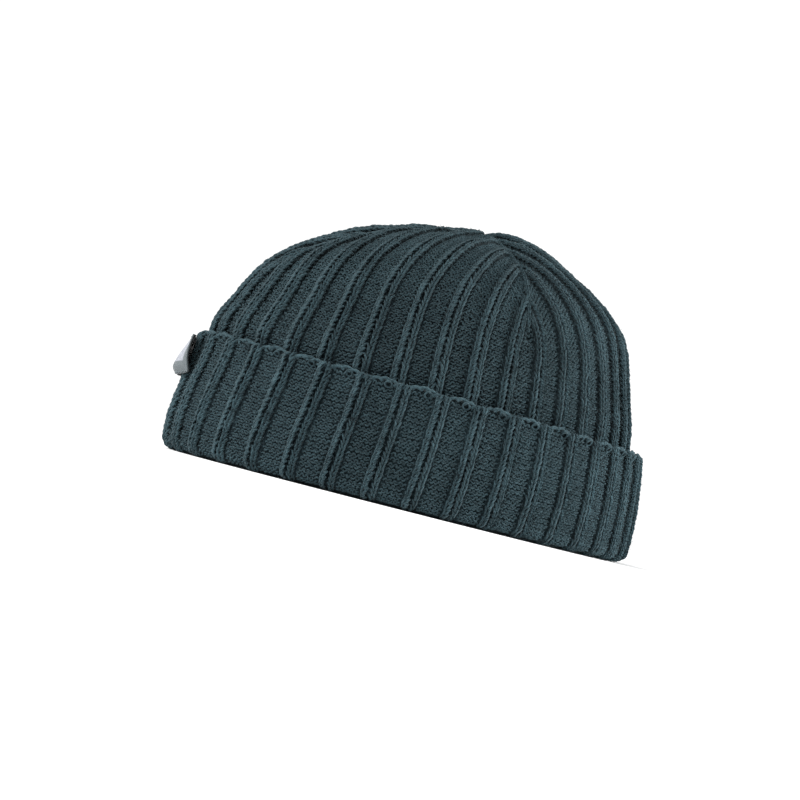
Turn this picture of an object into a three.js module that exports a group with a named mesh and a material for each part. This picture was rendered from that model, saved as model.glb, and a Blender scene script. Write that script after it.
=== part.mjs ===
// Fisherman beanie: a short rib-knit cap with a turned-up cuff and a woven front label.
// Millimetres, +Z up. The forehead side faces -Y and the wearer's left faces +X.
import * as THREE from 'three';

// Driving dimensions: the head that the cap fits, its height and its knit
const headLength = 184;
const headWidth = 177;
const eggShare = 0.05;
const capHeight = 125;
const knitWall = 4;
const ribRise = 1.3;
const seamGap = 0.3;

// The ribs: how many there are, and how wide a raised pair and its foot are in shares of one pitch
const goreCount = 4;
const ribsPerGore = 9;
const ribCrestShare = 0.34;
const ribFootShare = 0.52;

// The knit is stretched unevenly: its ribs lie closest together at this angle in degrees, by this share
const crowdAngle = 70;
const crowdShare = 0.18;
const crowdSteps = 12;

// The darts between the gores: where the first one lies in degrees, how much of a rib's rise its ridge
// has, the row of crownRows where the ribs begin to end in it, and how much the ribs narrow above that
const dartAngle = 26;
const dartRise = 0.6;
const dartStartRow = 5.3;
const topSqueeze = 0.18;
const topSqueezeRows = 7;

// The turned-up cuff. It is lower at the sides and at the nape, its ribs lean by some degrees, and the
// fold below it has a flat floor between its two rounded corners.
const cuffHeight = 52.5;
const cuffSideDrop = 0.5;
const cuffBackDrop = 6;
const cuffThickness = 5.2;
const cuffLean = 3.5;
const foldHeight = 6;
const foldFloorInset = 2.4;
const foldCorner = 3.2;

// The woven label, hung just below the cuff's upper edge and bowed away from it
const labelWidth = 52;
const labelHeight = 20.5;
const labelThickness = 1;
const labelStand = 4.5;
const labelDrop = 0.5;

// Resolution of the surfaces
const stepsPerRow = 2;
const hiddenRows = 3;
const innerColumns = 60;
const innerColumnArc = 10;
const labelColumns = 12;
const smallestRibRoom = 0.03;
const slopeStep = 0.05;
const cornerSteps = 3;
const tiny = 0.001;

const frontAngle = -Math.PI / 2;
const fullTurn = 2 * Math.PI;
const goreAngle = fullTurn / goreCount;
const pitchAngle = goreAngle / ribsPerGore;
const firstDart = THREE.MathUtils.degToRad(dartAngle);
const halfRibs = (ribsPerGore - 1) / 2;

// Outer shape of the crown from the fold to the top. rise is a share of capHeight, front and back are
// shares of the half length over the knit, side is a share of the half width over the knit.
const crownRows = [
  { rise: 0.000, front: 0.990, back: 0.985, side: 0.990 },
  { rise: 0.167, front: 0.990, back: 0.980, side: 0.990 },
  { rise: 0.333, front: 0.995, back: 0.965, side: 0.985 },
  { rise: 0.408, front: 1.018, back: 0.955, side: 0.985 },
  { rise: 0.458, front: 1.004, back: 0.938, side: 0.970 },
  { rise: 0.558, front: 0.943, back: 0.900, side: 0.935 },
  { rise: 0.667, front: 0.878, back: 0.850, side: 0.885 },
  { rise: 0.758, front: 0.775, back: 0.788, side: 0.810 },
  { rise: 0.842, front: 0.614, back: 0.675, side: 0.700 },
  { rise: 0.904, front: 0.448, back: 0.548, side: 0.565 },
  { rise: 0.950, front: 0.270, back: 0.425, side: 0.385 },
  { rise: 0.983, front: 0.080, back: 0.255, side: 0.175 },
  { rise: 1.000, front: -0.060, back: 0.100, side: 0.030 },
];

// Soft dents and swells that the knit keeps. angle and spread are degrees, rise and tall are shares
// of capHeight, and push is a share of knitWall, inwards when it is negative.
const dents = [
  { angle: 88, spread: 42, rise: 0.975, tall: 0.030, push: 0.70 },
  { angle: 26, spread: 11, rise: 0.930, tall: 0.060, push: -0.50 },
  { angle: 12, spread: 16, rise: 0.620, tall: 0.100, push: 0.30 },
  { angle: 78, spread: 22, rise: 0.740, tall: 0.120, push: 0.40 },
  { angle: -64, spread: 12, rise: 0.860, tall: 0.080, push: -0.40 },
  { angle: -105, spread: 24, rise: 0.700, tall: 0.140, push: -0.30 },
  { angle: 150, spread: 20, rise: 0.660, tall: 0.120, push: -0.35 },
  { angle: 206, spread: 14, rise: 0.840, tall: 0.090, push: -0.45 },
];

// Outer side of the cuff above the fold. rise is a share of the cuff's height there, slack is how far
// the cuff stands off the crown at the front and at the back, in shares of cuffThickness, and body is
// the share of cuffThickness that the knit keeps.
const cuffRows = [
  { rise: 0.120, slackFront: 0.95, slackBack: 0.46, body: 1.00 },
  { rise: 0.270, slackFront: 1.00, slackBack: 0.50, body: 1.00 },
  { rise: 0.450, slackFront: 0.82, slackBack: 0.46, body: 1.00 },
  { rise: 0.640, slackFront: 0.52, slackBack: 0.38, body: 0.99 },
  { rise: 0.840, slackFront: 0.16, slackBack: 0.30, body: 0.95 },
  { rise: 0.960, slackFront: 0.00, slackBack: 0.28, body: 0.82 },
];

// How far the label stands off the cuff down its height, in shares of labelStand
const labelRows = [
  { down: 0.00, stand: 0.05 },
  { down: 0.12, stand: 0.34 },
  { down: 0.30, stand: 0.62 },
  { down: 0.50, stand: 0.84 },
  { down: 0.68, stand: 0.98 },
  { down: 0.82, stand: 0.98 },
  { down: 0.93, stand: 0.62 },
  { down: 1.00, stand: 0.10 },
];

// Smooth value of one column at a place between the rows
function readRows(rows, column, place) {
  const last = rows.length - 1;
  const row = Math.min(Math.floor(place), last - 1);
  const value = (index) => rows[Math.min(Math.max(index, 0), last)][column];
  const start = value(row);
  const end = value(row + 1);
  const startSlope = (end - value(row - 1)) / 2;
  const endSlope = (value(row + 2) - start) / 2;
  const t = place - row;
  const bend = 3 * t * t - 2 * t * t * t;
  const startPull = t * (1 - t) * (1 - t);
  const endPull = t * t * (1 - t);
  return start + (end - start) * bend + startSlope * startPull - endSlope * endPull;
}

// Place in a table where a rising column reaches a value
function findPlace(rows, column, value) {
  let low = 0;
  let high = rows.length - 1;
  while (high - low > tiny) {
    const middle = (low + high) / 2;
    if (readRows(rows, column, middle) < value) low = middle;
    else high = middle;
  }
  return low;
}

// A head is narrower at the forehead than at the nape
function eggWidth(angle) {
  return Math.cos(angle) * (1 + eggShare * Math.sin(angle));
}

function angleBetween(a, b) {
  return Math.atan2(Math.sin(a - b), Math.cos(a - b));
}

// Angle round the head where the knit lies that would be at an angle if it were stretched evenly.
// The first dart stays in its place.
function stretchKnit(even) {
  const middle = THREE.MathUtils.degToRad(crowdAngle);
  let angle = even;
  for (let step = 0; step < crowdSteps; step += 1) {
    angle = even - crowdShare * (Math.sin(angle - middle) - Math.sin(firstDart - middle));
  }
  return angle;
}

// Sum of the dents at one spot, in millimetres outwards
function dentPush(angle, rise) {
  let push = 0;
  for (const dent of dents) {
    const across = angleBetween(angle, THREE.MathUtils.degToRad(dent.angle));
    const aside = across / THREE.MathUtils.degToRad(dent.spread);
    const above = (rise - dent.rise) / dent.tall;
    push += dent.push * knitWall * Math.exp(-aside * aside - above * above);
  }
  return push;
}

// Half sizes, height and outward slope of the crown at one place of its table
function crownSection(place) {
  const halfLength = headLength / 2 + knitWall;
  const halfWidth = headWidth / 2 + knitWall;
  const front = readRows(crownRows, 'front', place) * halfLength;
  const back = readRows(crownRows, 'back', place) * halfLength;
  const side = readRows(crownRows, 'side', place) * halfWidth;
  const rise = readRows(crownRows, 'rise', place);
  const height = foldHeight + rise * (capHeight - foldHeight);
  return { long: (front + back) / 2, shift: (back - front) / 2, side, height, rise };
}

// Direction out of the knit, as its share along the radius and its share up
function crownSlope(place) {
  const low = crownSection(Math.max(place - slopeStep, 0));
  const high = crownSection(Math.min(place + slopeStep, crownRows.length - 1));
  const run = low.long + low.side - high.long - high.side;
  const slope = new THREE.Vector2((high.height - low.height) * 2, run);
  return slope.normalize();
}

// Point of the crown at a depth below the rib crests
function crownPoint(place, angle, depth) {
  const section = crownSection(place);
  const slope = crownSlope(place);
  const out = dentPush(angle, section.rise) - depth;
  return new THREE.Vector3(
    eggWidth(angle) * (section.side + slope.x * out),
    section.shift + Math.sin(angle) * (section.long + slope.x * out),
    section.height + slope.y * out,
  );
}

// Half width of a gore in rib pitches. Above the dart's start the ribs stay side by side, so the
// gore holds fewer and fewer of them.
function goreReach(place) {
  const full = ribsPerGore / 2;
  if (place <= dartStartRow) return full;
  const here = crownSection(place);
  const start = crownSection(dartStartRow);
  const shrink = (here.long + here.side) / (start.long + start.side);
  const squeeze = 1 - topSqueeze * Math.min((place - dartStartRow) / topSqueezeRows, 1);
  return Math.min(full * shrink / squeeze, full);
}

// One ribbed ring of the crown, gore by gore. across counts rib pitches from the gore's middle.
function ribbedRing(place) {
  const reach = goreReach(place);
  const darted = THREE.MathUtils.clamp((ribsPerGore / 2 - reach) * 2, 0, 1);
  const ring = [];
  for (let gore = 0; gore < goreCount; gore += 1) {
    const middle = firstDart + (gore + 0.5) * goreAngle;
    const addMark = (across, depth) => {
      const angle = stretchKnit(middle + across / reach * goreAngle / 2);
      ring.push({ gore, across, point: crownPoint(place, angle, depth) });
    };
    addMark(-reach, ribRise * (1 - darted * dartRise));
    for (let rib = -halfRibs; rib <= halfRibs; rib += 1) {
      const room = reach - Math.abs(rib) - ribFootShare / 2;
      if (room < smallestRibRoom) continue;
      const fade = Math.min(room / (1 - ribFootShare) * 2, 1);
      const edges = [
        [-ribFootShare, 0], [-ribCrestShare, 1], [ribCrestShare, 1], [ribFootShare, 0],
      ];
      for (const [edge, raised] of edges) addMark(rib + edge / 2, ribRise * (1 - raised * fade));
    }
  }
  return ring;
}

// One plain ring of the crown's inner face, with fewer columns where it is small
function plainRing(place) {
  const section = crownSection(place);
  const around = Math.PI * (section.long + section.side);
  const wanted = Math.round(around / innerColumnArc / goreCount) * goreCount;
  const columns = THREE.MathUtils.clamp(wanted, goreCount * 2, innerColumns);
  const ring = [];
  for (let column = 0; column < columns; column += 1) {
    const turned = column / columns * goreCount;
    const gore = Math.floor(turned);
    const across = (turned - gore - 0.5) * ribsPerGore;
    const angle = stretchKnit(firstDart + turned * goreAngle);
    ring.push({ gore, across, point: crownPoint(place, angle, knitWall) });
  }
  return ring;
}

// The points of one gore, from the dart at its start to the dart at its end
function goreStrip(ring, gore) {
  const strip = ring.filter((mark) => mark.gore === gore);
  const next = ring.find((mark) => mark.gore === (gore + 1) % goreCount);
  return [...strip, { ...next, across: ribsPerGore / 2 }];
}

// A body that is built ring by ring and stays closed
class RingBody {
  constructor() {
    this.points = [];
    this.faces = [];
  }

  addPoint(point) {
    this.points.push(point.x, point.y, point.z);
    return this.points.length / 3 - 1;
  }

  addRing(ring) {
    return ring.map(({ gore, across, point }) => ({ gore, across, index: this.addPoint(point) }));
  }

  // Joins two rings gore by gore, whatever their numbers of points
  joinRings(lower, upper) {
    for (let gore = 0; gore < goreCount; gore += 1) {
      this.joinStrips(goreStrip(lower, gore), goreStrip(upper, gore));
    }
  }

  joinStrips(lower, upper) {
    let low = 0;
    let high = 0;
    while (low < lower.length - 1 || high < upper.length - 1) {
      const lowEnds = low === lower.length - 1;
      const highEnds = high === upper.length - 1;
      const lowIsNext = !lowEnds && (highEnds || lower[low + 1].across <= upper[high + 1].across + tiny);
      const corner = lowIsNext ? lower[low + 1] : upper[high + 1];
      this.faces.push(lower[low].index, corner.index, upper[high].index);
      if (lowIsNext) low += 1;
      else high += 1;
    }
  }

  closeRing(ring, point, upwards) {
    const tip = this.addPoint(point);
    ring.forEach(({ index }, step) => {
      const next = ring[(step + 1) % ring.length].index;
      if (upwards) this.faces.push(index, next, tip);
      else this.faces.push(next, index, tip);
    });
  }

  toGeometry() {
    const geometry = new THREE.BufferGeometry();
    geometry.setAttribute('position', new THREE.Float32BufferAttribute(this.points, 3));
    geometry.setIndex(this.faces);
    geometry.computeVertexNormals();
    return geometry;
  }
}

// Places of the crown's rings: a few inside the cuff, then closer ones over the dome
function crownPlaces() {
  const places = [];
  for (let row = 0; row < hiddenRows; row += 1) places.push(row);
  const lastRow = crownRows.length - 1;
  for (let step = hiddenRows * stepsPerRow; step < lastRow * stepsPerRow; step += 1) {
    places.push(step / stepsPerRow);
  }
  return places;
}

function makeCrown() {
  const body = new RingBody();
  const places = crownPlaces();
  const outer = places.map((place) => body.addRing(ribbedRing(place)));
  const inner = places.map((place) => body.addRing(plainRing(place)));
  for (let step = 1; step < places.length; step += 1) {
    body.joinRings(outer[step - 1], outer[step]);
    body.joinRings(inner[step], inner[step - 1]);
  }
  body.joinRings(inner[0], outer[0]);
  const top = crownRows.length - 1;
  const section = crownSection(top);
  const tip = new THREE.Vector3(0, section.shift, section.height - ribRise);
  body.closeRing(outer.at(-1), tip, true);
  body.closeRing(inner.at(-1), tip.clone().setZ(section.height - knitWall), false);
  return body.toGeometry();
}

// 0 at the forehead, 1 at the nape
function backShare(angle) {
  return (1 - Math.cos(angle - frontAngle)) / 2;
}

// The cuff dips at the sides, and the nape is a little lower than the forehead
function cuffTop(angle) {
  const sideways = Math.sin(angle - frontAngle) ** 2;
  return cuffHeight - cuffSideDrop * sideways - cuffBackDrop * backShare(angle);
}

// Crown surface at a height, pushed out by some millimetres
function offCrown(angle, height, out) {
  const rise = (height - foldHeight) / (capHeight - foldHeight);
  const place = rise <= 0 ? 0 : findPlace(crownRows, 'rise', rise);
  const section = crownSection(place);
  const push = Math.max(dentPush(angle, rise), 0) + out;
  return new THREE.Vector3(
    eggWidth(angle) * (section.side + push),
    section.shift + Math.sin(angle) * (section.long + push),
    height,
  );
}

function cuffSlack(row, angle) {
  const back = backShare(angle);
  return (row.slackFront * (1 - back) + row.slackBack * back) * cuffThickness;
}

// The cuff's ribs lean towards the nape on the wearer's left as they rise
function leanAngle(height) {
  return Math.tan(THREE.MathUtils.degToRad(cuffLean)) * height / (headLength / 2 + knitWall);
}

// Points of one cuff section, from the inner lip round under the fold, up outside and down inside
function cuffLoop(start, depth) {
  const top = cuffTop(start);
  const lip = foldHeight - seamGap;
  const at = (height, out) => offCrown(start + leanAngle(height), height, out);
  const innerOut = (row) => seamGap + cuffSlack(row, start);
  const foldOut = innerOut(cuffRows[0]) + cuffThickness;
  const edge = cuffRows.at(-1);
  const innerRows = [edge, cuffRows.at(-2), cuffRows[2]];
  return [
    at(lip, -knitWall),
    at(foldFloorInset, -knitWall),
    at(0, foldFloorInset - knitWall),
    at(0, foldOut - foldCorner),
    at(foldCorner / cornerSteps, foldOut - foldCorner / cornerSteps - depth / 2),
    ...cuffRows.map((row) => at(row.rise * top, innerOut(row) + row.body * cuffThickness - depth)),
    at(top, innerOut(edge) + edge.body * cuffThickness / 2),
    ...innerRows.map((row) => at(row.rise * top, innerOut(row))),
    at(lip, seamGap),
  ];
}

function makeCuff() {
  const body = new RingBody();
  const columns = [];
  const edges = [[-ribFootShare, 1], [-ribCrestShare, 0], [ribCrestShare, 0], [ribFootShare, 1]];
  for (let gore = 0; gore < goreCount; gore += 1) {
    for (let rib = 0; rib < ribsPerGore; rib += 1) {
      for (const [edge, sunk] of edges) {
        const across = rib + (edge + 1) / 2;
        const angle = firstDart + gore * goreAngle + across * pitchAngle;
        const loop = cuffLoop(stretchKnit(angle), sunk * ribRise);
        columns.push({ gore, across: across - ribsPerGore / 2, loop });
      }
    }
  }
  const rings = columns[0].loop.map((_, step) => (
    body.addRing(columns.map(({ gore, across, loop }) => ({ gore, across, point: loop[step] })))
  ));
  rings.forEach((ring, step) => body.joinRings(ring, rings[(step + 1) % rings.length]));
  return body.toGeometry();
}

// Outer face of the cuff at the front, where the label hangs
function cuffFace(angle, height) {
  const top = cuffTop(angle);
  const place = findPlace(cuffRows, 'rise', height / top);
  const back = backShare(angle);
  const front = readRows(cuffRows, 'slackFront', place) * (1 - back);
  const slack = front + readRows(cuffRows, 'slackBack', place) * back;
  return seamGap + (slack + readRows(cuffRows, 'body', place)) * cuffThickness;
}

// Corners of one upright strip through the label: down its back, then up its face
function labelLoop(angle) {
  const top = cuffTop(frontAngle) - labelDrop;
  const pointAt = (row, layer) => {
    const height = top - row.down * labelHeight;
    return offCrown(angle, height, cuffFace(angle, height) + seamGap + row.stand * labelStand + layer);
  };
  const back = labelRows.map((row) => pointAt(row, 0));
  const face = labelRows.map((row) => pointAt(row, labelThickness));
  return [...back, ...face.reverse()];
}

function makeLabel() {
  const halfLength = headLength / 2 + knitWall + cuffThickness;
  const spread = labelWidth / halfLength;
  const corners = 2 * labelRows.length;
  const points = [];
  for (let column = 0; column <= labelColumns; column += 1) {
    const loop = labelLoop(frontAngle + (column / labelColumns - 0.5) * spread);
    loop.forEach((point) => points.push(point.x, point.y, point.z));
  }
  const faces = [];
  const square = (a, b, c, d) => faces.push(a, b, c, a, c, d);
  for (let column = 0; column < labelColumns; column += 1) {
    const here = column * corners;
    for (let corner = 0; corner < corners; corner += 1) {
      const next = (corner + 1) % corners;
      square(here + corner, here + corners + corner, here + corners + next, here + next);
    }
  }
  const last = labelColumns * corners;
  for (let row = 0; row < labelRows.length - 1; row += 1) {
    const across = corners - 1 - row;
    square(row, row + 1, across - 1, across);
    square(last + row, last + across, last + across - 1, last + row + 1);
  }
  const geometry = new THREE.BufferGeometry();
  geometry.setAttribute('position', new THREE.Float32BufferAttribute(points, 3));
  geometry.setIndex(faces);
  geometry.computeVertexNormals();
  return geometry;
}

const wool = new THREE.MeshStandardMaterial({ color: 0x34444a, roughness: 0.95, metalness: 0 });
const wovenTape = new THREE.MeshStandardMaterial({ color: 0x8f9699, roughness: 0.8, metalness: 0 });

function makePiece(name, geometry, material) {
  const piece = new THREE.Mesh(geometry, material);
  piece.name = name;
  return piece;
}

const beanie = new THREE.Group();
beanie.add(makePiece('crown', makeCrown(), wool));
beanie.add(makePiece('cuff', makeCuff(), wool));
beanie.add(makePiece('label', makeLabel(), wovenTape));

// The origin is on the floor below the middle of the cap and its label
const bounds = new THREE.Box3().setFromObject(beanie);
const middle = bounds.getCenter(new THREE.Vector3());
beanie.position.set(-middle.x, -middle.y, -bounds.min.z);

export default beanie;
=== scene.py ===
# Fisherman beanie: a rib-knit cap with a turned-up cuff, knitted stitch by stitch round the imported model.
# Metres, +Z up, the forehead towards -Y and the wearer's left towards +X.
import math

import bpy
import numpy as np
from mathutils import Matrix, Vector
from mathutils.bvhtree import BVHTree


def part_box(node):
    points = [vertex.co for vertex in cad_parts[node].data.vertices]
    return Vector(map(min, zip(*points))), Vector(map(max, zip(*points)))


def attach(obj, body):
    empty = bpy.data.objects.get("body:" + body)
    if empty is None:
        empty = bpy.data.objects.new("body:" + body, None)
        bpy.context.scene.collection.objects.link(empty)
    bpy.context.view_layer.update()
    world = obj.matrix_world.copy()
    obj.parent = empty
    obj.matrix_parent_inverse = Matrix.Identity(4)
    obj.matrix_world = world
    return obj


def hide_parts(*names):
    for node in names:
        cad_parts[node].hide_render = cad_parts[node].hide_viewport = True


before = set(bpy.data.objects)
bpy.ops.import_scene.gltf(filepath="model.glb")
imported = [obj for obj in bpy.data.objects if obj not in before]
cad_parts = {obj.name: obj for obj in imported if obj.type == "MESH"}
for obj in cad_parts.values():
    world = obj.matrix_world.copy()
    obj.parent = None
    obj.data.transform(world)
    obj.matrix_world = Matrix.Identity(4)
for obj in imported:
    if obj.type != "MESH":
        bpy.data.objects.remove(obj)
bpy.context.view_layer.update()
mm = 0.001
fullTurn = 2 * math.pi
scene = bpy.context.scene

# Camera

cameraSettings = {
    "distance": 1.3,
    "height": 0.012,                    # just above the surface that the cap rests on
    "lookAt": (0.0, -0.0064, 0.0452),
    "roll": 14.3,                       # degrees, the tilt of the cap in the picture
    "pixelsPerMetre": 2305,
    "pictureSize": 800,
    "sensor": 36.0,
}


def makeCamera(settings):
    data = bpy.data.cameras.new("camera")
    camera = bpy.data.objects.new("camera", data)
    scene.collection.objects.link(camera)
    target = Vector(settings["lookAt"])
    camera.location = (settings["distance"], target.y, settings["height"])
    look = target - camera.location
    camera.rotation_euler = look.to_track_quat("-Z", "Y").to_euler()
    camera.rotation_euler.rotate_axis("Z", math.radians(settings["roll"]))
    data.sensor_width = settings["sensor"]
    data.lens = settings["pixelsPerMetre"] * look.length * settings["sensor"] / settings["pictureSize"]
    data.clip_start = 0.05
    data.clip_end = 60
    scene.camera = camera


makeCamera(cameraSettings)
print("camera placed")

# Ribs and darts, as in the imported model

knitPlan = {
    "gores": 4,
    "ribsPerGore": 9,
    "dartAngle": math.radians(26),
    "dartHeight": 77 * mm,              # the ribs begin to end in the darts here
    "topSqueeze": 0.18,                 # the ribs are this much narrower at the top
    "course": 2.2 * mm,                 # height of one row of stitches
    "noseIn": 0.05,                     # the cap is narrower at the forehead
    "topBehind": 10.8 * mm,             # the middle of the dome lies this far behind the origin
    "hubHeight": 45 * mm,
    "lowestTilt": math.radians(-21.8),
    "topStart": math.radians(25),
    "cuffLean": math.radians(3.5),
    "crowdAngle": math.radians(70),     # the ribs lie closest together here, by this share
    "crowdShare": 0.18,
    "lastLevel": 0.991,                 # the stitches end here, next to the apex
}
goreAngle = fullTurn / knitPlan["gores"]
fullReach = knitPlan["ribsPerGore"] / 2
ribTotal = knitPlan["gores"] * knitPlan["ribsPerGore"]
pitchAngle = fullTurn / ribTotal
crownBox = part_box("crown")
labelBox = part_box("label")
crownSize = crownBox[1] - crownBox[0]
widthShare = crownSize.x / crownSize.y
middleY = (crownBox[0].y + crownBox[1].y) / 2

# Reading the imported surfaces


def treeOf(name):
    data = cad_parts[name].data
    points = [vertex.co[:] for vertex in data.vertices]
    faces = [face.vertices[:] for face in data.polygons]
    return BVHTree.FromPolygons(points, faces)


def spoke(angle):
    x = np.cos(angle) * widthShare * (1 + knitPlan["noseIn"] * np.sin(angle))
    y = np.sin(angle)
    length = np.hypot(x, y)
    return np.stack([x / length, y / length], -1)


def smoothStep(value):
    value = np.clip(value, 0, 1)
    return value * value * (3 - 2 * value)


def unit(vectors):
    return vectors / np.maximum(np.linalg.norm(vectors, axis=-1, keepdims=True), 1e-12)


def wave(first, second, seed):
    # slow uneven swells, the same each time for a seed
    total = np.zeros(np.broadcast(first, second).shape)
    rng = np.random.RandomState(seed)
    waves = 5
    for _ in range(waves):
        a, b, phase = rng.uniform(-1, 1), rng.uniform(-1, 1), rng.uniform(0, fullTurn)
        total = total + np.sin(a * first + b * second + phase)
    return total / waves


def hubAt(tilt):
    share = smoothStep((tilt - knitPlan["topStart"]) / (math.pi / 2 - knitPlan["topStart"]))
    return np.array([0, middleY + (knitPlan["topBehind"] - middleY) * share, knitPlan["hubHeight"]])


def castCrown(tree, tilts, angles, outside):
    grid = np.zeros((len(tilts), len(angles), 3))
    spokes = spoke(angles)
    far = 0.3
    for row, tilt in enumerate(tilts):
        hub = Vector(hubAt(tilt))
        for column in range(len(angles)):
            x, y = spokes[column] * math.cos(tilt)
            way = Vector((x, y, math.sin(tilt)))
            if outside:
                hit = tree.ray_cast(hub + way * far, -way)[0]
            else:
                hit = tree.ray_cast(hub, way)[0]
            grid[row, column] = hit if hit is not None else grid[row - 1, column]
    return grid


def blurRing(grid, width):
    # mean over a stretch of each ring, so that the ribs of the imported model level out
    kernel = np.ones(width) / width
    padded = np.concatenate([grid[:, -width:], grid, grid[:, :width]], axis=1)
    out = np.empty_like(grid)
    for row in range(grid.shape[0]):
        for axis in range(grid.shape[2]):
            smooth = np.convolve(padded[row, :, axis], kernel, "same")
            out[row, :, axis] = smooth[width:-width]
    return out


def blurRows(grid, passes):
    for _ in range(passes):
        grid[1:-1] = (grid[:-2] + 2 * grid[1:-1] + grid[2:]) / 4
    return grid


def evenLevels(grid, count):
    # the same columns, with their points an even way apart along each column
    out = np.zeros((count, grid.shape[1], 3))
    for column in range(grid.shape[1]):
        line = grid[:, column]
        steps = np.linalg.norm(np.diff(line, axis=0), axis=1)
        way = np.concatenate([[0], np.cumsum(steps)])
        wanted = np.linspace(0, way[-1], count)
        for axis in range(3):
            out[:, column, axis] = np.interp(wanted, way, line[:, axis])
    return out


class Surface:
    # a grid of points over level, 0 below and 1 above, and angle, read between its points
    def __init__(self, grid):
        self.grid = grid
        self.levels, self.columns = grid.shape[:2]
        self.way = np.linalg.norm(np.diff(grid, axis=0), axis=2).sum(axis=0).mean()
        along = np.roll(grid, -1, 1) - np.roll(grid, 1, 1)
        self.normals = unit(np.cross(along, np.gradient(grid, axis=0)))

    def read(self, values, level, angle):
        row = np.clip(level, 0, 1) * (self.levels - 1)
        low = np.minimum(row.astype(int), self.levels - 2)
        part = (row - low)[..., None]
        place = (angle / fullTurn * self.columns) % self.columns
        left = place.astype(int) % self.columns
        right = (left + 1) % self.columns
        side = (place - place.astype(int))[..., None]
        below = values[low, left] * (1 - side) + values[low, right] * side
        above = values[low + 1, left] * (1 - side) + values[low + 1, right] * side
        return below * (1 - part) + above * part

    def point(self, level, angle):
        return self.read(self.grid, level, angle)

    def normal(self, level, angle):
        return unit(self.read(self.normals, level, angle))


reading = {
    "columns": 360,
    "tilts": 96,
    "crownLevels": 240,
    "liningLevels": 120,
    "crownPasses": 6,                   # of smoothing up and down
    "cuffPasses": 3,
}
ringColumns = reading["columns"]
ringAngles = np.arange(ringColumns) / ringColumns * fullTurn
ribWindow = ringColumns // ribTotal
crownTree = treeOf("crown")
cuffTree = treeOf("cuff")
labelTree = treeOf("label")


def readCrown(outside, rows):
    tilts = np.linspace(knitPlan["lowestTilt"], math.pi / 2 - 0.002, reading["tilts"])
    grid = blurRing(castCrown(crownTree, tilts, ringAngles, outside), ribWindow)
    grid = blurRows(grid, reading["crownPasses"])
    grid[-1] = grid[-1].mean(axis=0)
    return Surface(evenLevels(grid, rows))


crownSurface = readCrown(True, reading["crownLevels"])
crownLining = readCrown(False, reading["liningLevels"])
levelScale = np.linspace(0, 1, crownSurface.levels)
ringSteps = np.linalg.norm(crownSurface.grid - np.roll(crownSurface.grid, 1, 1), axis=2)
ringRadius = ringSteps.sum(axis=1) / fullTurn
ringHeight = crownSurface.grid[:, :, 2].mean(axis=1)
dartLevel = float(np.interp(knitPlan["dartHeight"], ringHeight, levelScale))
print("crown read, way up", round(crownSurface.way, 4))


def radiusAt(level):
    return np.interp(level, levelScale, ringRadius)


def evenAngle(angle):
    # where the knit at an angle would be if it were stretched evenly
    middle = knitPlan["crowdAngle"]
    shift = np.sin(angle - middle) - math.sin(knitPlan["dartAngle"] - middle)
    return angle + knitPlan["crowdShare"] * shift


turnScale = np.linspace(-2 * fullTurn, 3 * fullTurn, 9001)
evenScale = evenAngle(turnScale)


def stretchKnit(even):
    return np.interp(even, evenScale, turnScale)


def crowding(angle):
    return 1 + knitPlan["crowdShare"] * np.cos(angle - knitPlan["crowdAngle"])


def reachAt(level):
    # half a gore in rib pitches
    squeeze = 1 - knitPlan["topSqueeze"] * np.clip((level - dartLevel) / (1 - dartLevel), 0, 1)
    reach = fullReach * radiusAt(level) / radiusAt(dartLevel) / squeeze
    return np.where(level <= dartLevel, fullReach, np.clip(reach, 0.01, fullReach))


def pitchAt(level, angle):
    return radiusAt(level) * goreAngle / (2 * reachAt(level)) / crowding(angle)


# The cuff: its outer side, from the floor of the fold up and over the free edge

cuffShape = {
    "foldLift": 1.25 * mm,              # the ribs fill this space under the fold and touch the floor
    "foldRound": 4.4 * mm,
    "floorInset": 9.0 * mm,             # from the widest place in to the middle of the floor
    "edgeRound": 2.3 * mm,
    "edgeTurn": math.radians(112),
    "levels": 150,
}


def readCuffTop(angles):
    points = np.array([vertex.co[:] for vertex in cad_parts["cuff"].data.vertices])
    around = np.arctan2(points[:, 1] - middleY, points[:, 0] / widthShare)
    tops = []
    for angle in angles:
        away = np.abs(np.angle(np.exp(1j * (around - angle))))
        tops.append(points[away < math.radians(4), 2].max())
    reach = 10
    kernel = np.ones(2 * reach + 1) / (2 * reach + 1)
    return np.convolve(np.concatenate([tops[-reach:], tops, tops[:reach]]), kernel, "valid")


def castCuff(tops):
    spokes = spoke(ringAngles)
    heights = np.linspace(0.06, 0.94, 40)
    radii = np.zeros((len(heights), ringColumns, 1))
    outside = 0.2
    for column in range(ringColumns):
        x, y = spokes[column]
        for row, share in enumerate(heights):
            far = Vector((x * outside, middleY + y * outside, share * tops[column]))
            hit = cuffTree.ray_cast(far, Vector((-x, -y, 0)))[0]
            radii[row, column] = math.hypot(hit.x, hit.y - middleY)
    return heights, blurRows(blurRing(radii, ribWindow), reading["cuffPasses"])[:, :, 0]


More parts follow.
